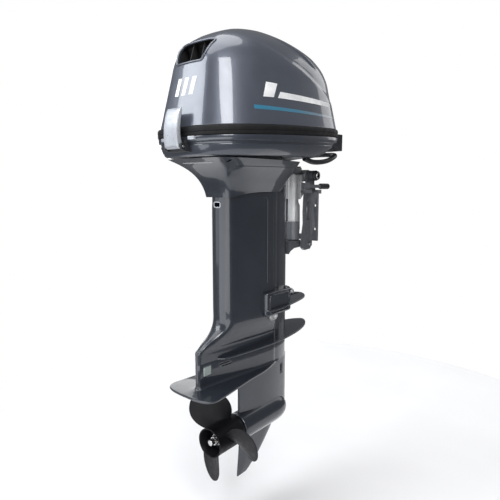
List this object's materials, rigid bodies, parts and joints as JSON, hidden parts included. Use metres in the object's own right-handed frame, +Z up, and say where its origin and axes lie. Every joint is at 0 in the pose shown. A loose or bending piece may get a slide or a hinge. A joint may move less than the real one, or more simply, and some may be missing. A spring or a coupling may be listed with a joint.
{
  "type": "outboard motor",
  "caption": "Two-stroke outboard motor with lift-off cowl, steering and tilting bracket, long leg, gearcase with plates and skeg, and a three-blade propeller.",
  "frame": {"origin": "middle of the transom's top aft edge, under the two bracket hooks", "axes": "+X starboard, +Y forward towards the boat, +Z up"},
  "size_m": [0.367, 0.7097, 1.3535],
  "materials": {
    "cowl_paint": "glossy dark grey metallic lacquer",
    "leg_paint": "cast aluminium under glossy dark blue-grey metallic paint",
    "black_plastic": "satin black moulding",
    "seal_rubber": "matt black",
    "grey_casting": "grey painted casting",
    "bare_casting": "bare rough casting",
    "stainless": "turned stainless steel",
    "latch_paint": "light grey satin paint",
    "anode_metal": "dull sacrificial metal",
    "propeller_paint": "cast aluminium under satin black paint",
    "gear_steel": "ground steel",
    "nitrile_rubber": "moulded"
  },
  "bodies": {
    "transom_mount": {"transom_bracket_starboard": "grey_casting", "transom_bracket_port": "grey_casting", "tilt_tube": "stainless", "tilt_tube_nut_starboard": "black_plastic", "tilt_tube_nut_port": "black_plastic", "thrust_rod": "stainless", "lever_bolt": "stainless"},
    "lock_lever": {"tilt_lock_lever": "grey_casting", "lever_grip": "black_plastic"},
    "swivel": {"swivel_bracket": "bare_casting"},
    "engine": {"pivot_shaft": "stainless", "steering_arm": "grey_casting", "lower_yoke": "grey_casting", "leg_housing": "leg_paint", "gearcase": "leg_paint", "anode": "anode_metal", "water_inlet_starboard": "black_plastic", "water_inlet_port": "black_plastic", "bearing_carrier": "grey_casting", "pump_housing": "black_plastic", "lower_mount_cover_starboard": "leg_paint", "lower_mount_cover_port": "leg_paint", "lower_mount_bolt_starboard": "stainless", "lower_mount_bolt_port": "stainless", "apron": "leg_paint", "lower_cowl": "cowl_paint", "latch_base": "black_plastic", "latch_pin": "stainless", "carry_handle": "black_plastic", "cable_entry_block": "black_plastic", "powerhead_base": "bare_casting", "cylinder_block": "bare_casting", "crankcase_cover": "bare_casting", "cylinder_head": "bare_casting", "spark_plug_lower": "black_plastic", "spark_plug_upper": "black_plastic", "exhaust_cover": "grey_casting", "carburettor_lower": "bare_casting", "carburettor_upper": "bare_casting", "air_silencer": "black_plastic", "starter_motor": "black_plastic", "ignition_box": "black_plastic", "ignition_coil": "black_plastic", "fuel_filter": "bare_casting"},
    "cowl": {"top_cowl": "cowl_paint", "rear_air_duct": "black_plastic", "cowl_seal": "seal_rubber"},
    "latch": {"cowl_latch": "latch_paint"},
    "crank": {"crankshaft": "gear_steel", "flywheel": "gear_steel", "flywheel_nut": "stainless", "drive_shaft": "stainless", "pinion": "gear_steel", "pump_impeller": "nitrile_rubber"},
    "forward_gear": {"forward_gear": "gear_steel"},
    "reverse_gear": {"reverse_gear": "gear_steel"},
    "propeller": {"propeller": "propeller_paint", "propeller_shaft": "stainless", "propeller_nut": "stainless"},
    "clutch": {"clutch_dog": "gear_steel"}
  },
  "joints": [
    {"name": "tilt", "type": "hinge", "parent": "transom_mount", "child": "swivel", "pos_m": [0, -0.012, 0.06], "axis": [-1, 0, 0], "range_deg": [0, 55]},
    {"name": "steering", "type": "hinge", "parent": "swivel", "child": "engine", "pos_m": [0, -0.05, -0.04], "axis": [0, 0, 1], "range_deg": [-35, 35]},
    {"name": "lock_lever_swing", "type": "hinge", "parent": "transom_mount", "child": "lock_lever", "pos_m": [0.068, -0.088, 0.024], "axis": [0, 0, -1], "range_deg": [0, 30]},
    {"name": "cowl_lift", "type": "slide", "parent": "engine", "child": "cowl", "axis": [0, 0, 1], "range_m": [0, 0.34]},
    {"name": "latch_open", "type": "hinge", "parent": "engine", "child": "latch", "pos_m": [0, -0.575, 0.122], "axis": [1, 0, 0], "range_deg": [0, 70]},
    {"name": "crank_spin", "type": "hinge", "parent": "engine", "child": "crank", "pos_m": [0, -0.201, 0.22], "axis": [0, 0, 1], "continuous": true},
    {"name": "forward_gear_spin", "type": "hinge", "parent": "engine", "child": "forward_gear", "pos_m": [0, -0.175, -0.722], "axis": [0, 1, 0], "continuous": true},
    {"name": "reverse_gear_spin", "type": "hinge", "parent": "engine", "child": "reverse_gear", "pos_m": [0, -0.228, -0.722], "axis": [0, 1, 0], "continuous": true},
    {"name": "propeller_spin", "type": "hinge", "parent": "engine", "child": "propeller", "pos_m": [0, -0.406, -0.722], "axis": [0, 1, 0], "continuous": true},
    {"name": "clutch_shift", "type": "slide", "parent": "propeller", "child": "clutch", "axis": [0, -1, 0], "range_m": [0, 0.021]}
  ],
  "couplings": [
    {"joint": "forward_gear_spin", "follows": "crank_spin", "ratio": -0.5},
    {"joint": "reverse_gear_spin", "follows": "crank_spin", "ratio": 0.5},
    {"joint": "propeller_spin", "follows": "crank_spin", "ratio": -0.5}
  ]
}
